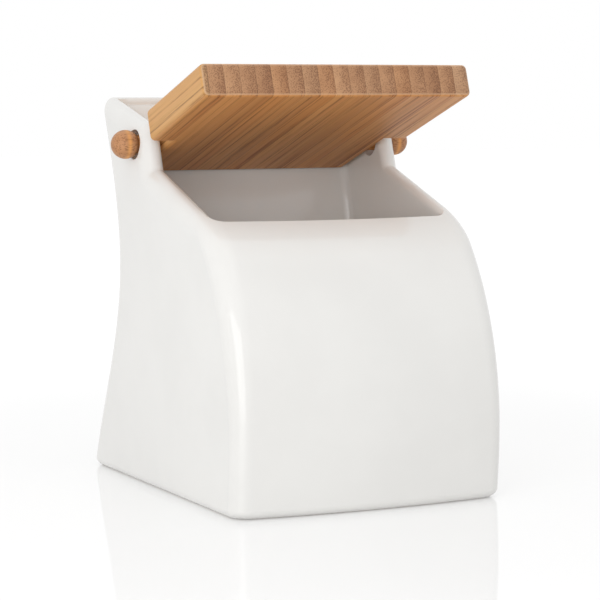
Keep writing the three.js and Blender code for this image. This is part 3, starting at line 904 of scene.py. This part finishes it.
for side, name in ((1, "right"), (-1, "left")):
    peg = make_peg(side)
    peg.name = f"bamboo_peg_{name}"
    middle = side * WIDTH / 2
    reach = PEG_DENSE_STAVES * STAVE_WIDTH
    start, end = middle - reach, middle + reach
    dress(peg, bamboo(f"bamboo_{name}_dowel", "X", start, end, TURNED, PEG_SEED + side))
    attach(peg, "lid")
    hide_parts(f"peg_{name}")


# Stage: a white floor with a soft mirror, and white all round. Where it is seen, the floor glows
# a little more with the distance from the object, so that its far part is as white as the backdrop.
FLOOR_SIZE = 12
FLOOR_LIGHTING = (0.78, 0.78, 0.78, 1)
FLOOR_SEEN = (0.62, 0.62, 0.62, 1)
FLOOR_GLOW_REACH = (0.25, 0.8)
FLOOR_GLOW = (0.44, 0.62)
FLOOR_MIRROR_ROUGHNESS = 0.03
FLOOR_IOR = 1.45
SKY_STRENGTH = 0.77
BACKDROP_STRENGTH = 1.0


def floor_material():
    material, nodes = new_material("white_floor")
    seen = nodes.seen_directly()
    matte = nodes.node("ShaderNodeBsdfDiffuse", {"Color": nodes.mix(seen, FLOOR_LIGHTING, FLOOR_SEEN)})
    away = nodes.vector("LENGTH", nodes.position(), output="Value")
    lift = nodes.math("MULTIPLY", seen, nodes.smoothstep(away, *FLOOR_GLOW_REACH, *FLOOR_GLOW))
    glow = nodes.node("ShaderNodeEmission", {"Color": WHITE, "Strength": lift})
    lit = nodes.node("ShaderNodeAddShader", {0: matte.outputs[0], 1: glow.outputs[0]})
    mirror = nodes.node("ShaderNodeBsdfGlossy", {"Color": WHITE, "Roughness": FLOOR_MIRROR_ROUGHNESS})
    fresnel = nodes.node("ShaderNodeFresnel", {"IOR": FLOOR_IOR})
    both = nodes.mix_shaders(fresnel.outputs[0], lit, mirror)
    nodes.node("ShaderNodeOutputMaterial", {0: both.outputs[0]})
    return material


bpy.ops.mesh.primitive_plane_add(size=FLOOR_SIZE, location=(0, 0, 0))
floor = bpy.context.object
floor.name = "studio_floor"
floor.data.materials.append(floor_material())

scene = bpy.context.scene
world = bpy.data.worlds.new("studio")
scene.world = world
world.use_nodes = True
sky = Nodes(world.node_tree)
soft = sky.node("ShaderNodeBackground", {"Color": WHITE, "Strength": SKY_STRENGTH})
backdrop = sky.node("ShaderNodeBackground", {"Color": WHITE, "Strength": BACKDROP_STRENGTH})
choice = sky.mix_shaders(sky.seen_directly(), soft, backdrop)
sky.node("ShaderNodeOutputWorld", {0: choice.outputs[0]})

# Name, place, target and side of each square lamp in metres, and its power in watts.
SOFTBOXES = [
    ("left_softbox", (-0.86, -0.78, 0.36), (0, -0.02, 0.12), 0.7, 3.3),
    ("top_softbox", (0.1, -0.3, 1.5), (0, 0, 0.1), 1.2, 1.5),
]

for name, place, target, size, power in SOFTBOXES:
    lamp_data = bpy.data.lights.new(name, "AREA")
    lamp_data.shape = "SQUARE"
    lamp_data.size = size
    lamp_data.energy = power
    lamp = bpy.data.objects.new(name, lamp_data)
    scene.collection.objects.link(lamp)
    lamp.location = place
    lamp.rotation_euler = (Vector(target) - Vector(place)).to_track_quat("-Z", "Y").to_euler()

# Camera, solved from the edges of the object in the photograph.
CAMERA_PLACE = (-0.5695, -1.1756, 0.2304)
CAMERA_FORWARD = (0.43750, 0.89430, -0.09394)
CAMERA_REACH = 50
FOCAL_PIXELS = 2237.3
PHOTO_PIXELS = 600
SENSOR_MM = 36.0

camera_data = bpy.data.cameras.new("camera")
camera_data.sensor_width = SENSOR_MM
camera_data.lens = FOCAL_PIXELS / PHOTO_PIXELS * SENSOR_MM
camera_data.clip_end = CAMERA_REACH
camera = bpy.data.objects.new("camera", camera_data)
scene.collection.objects.link(camera)
camera.location = CAMERA_PLACE
camera.rotation_euler = Vector(CAMERA_FORWARD).to_track_quat("-Z", "Y").to_euler()
scene.camera = camera
scene.view_settings.view_transform = "Standard"
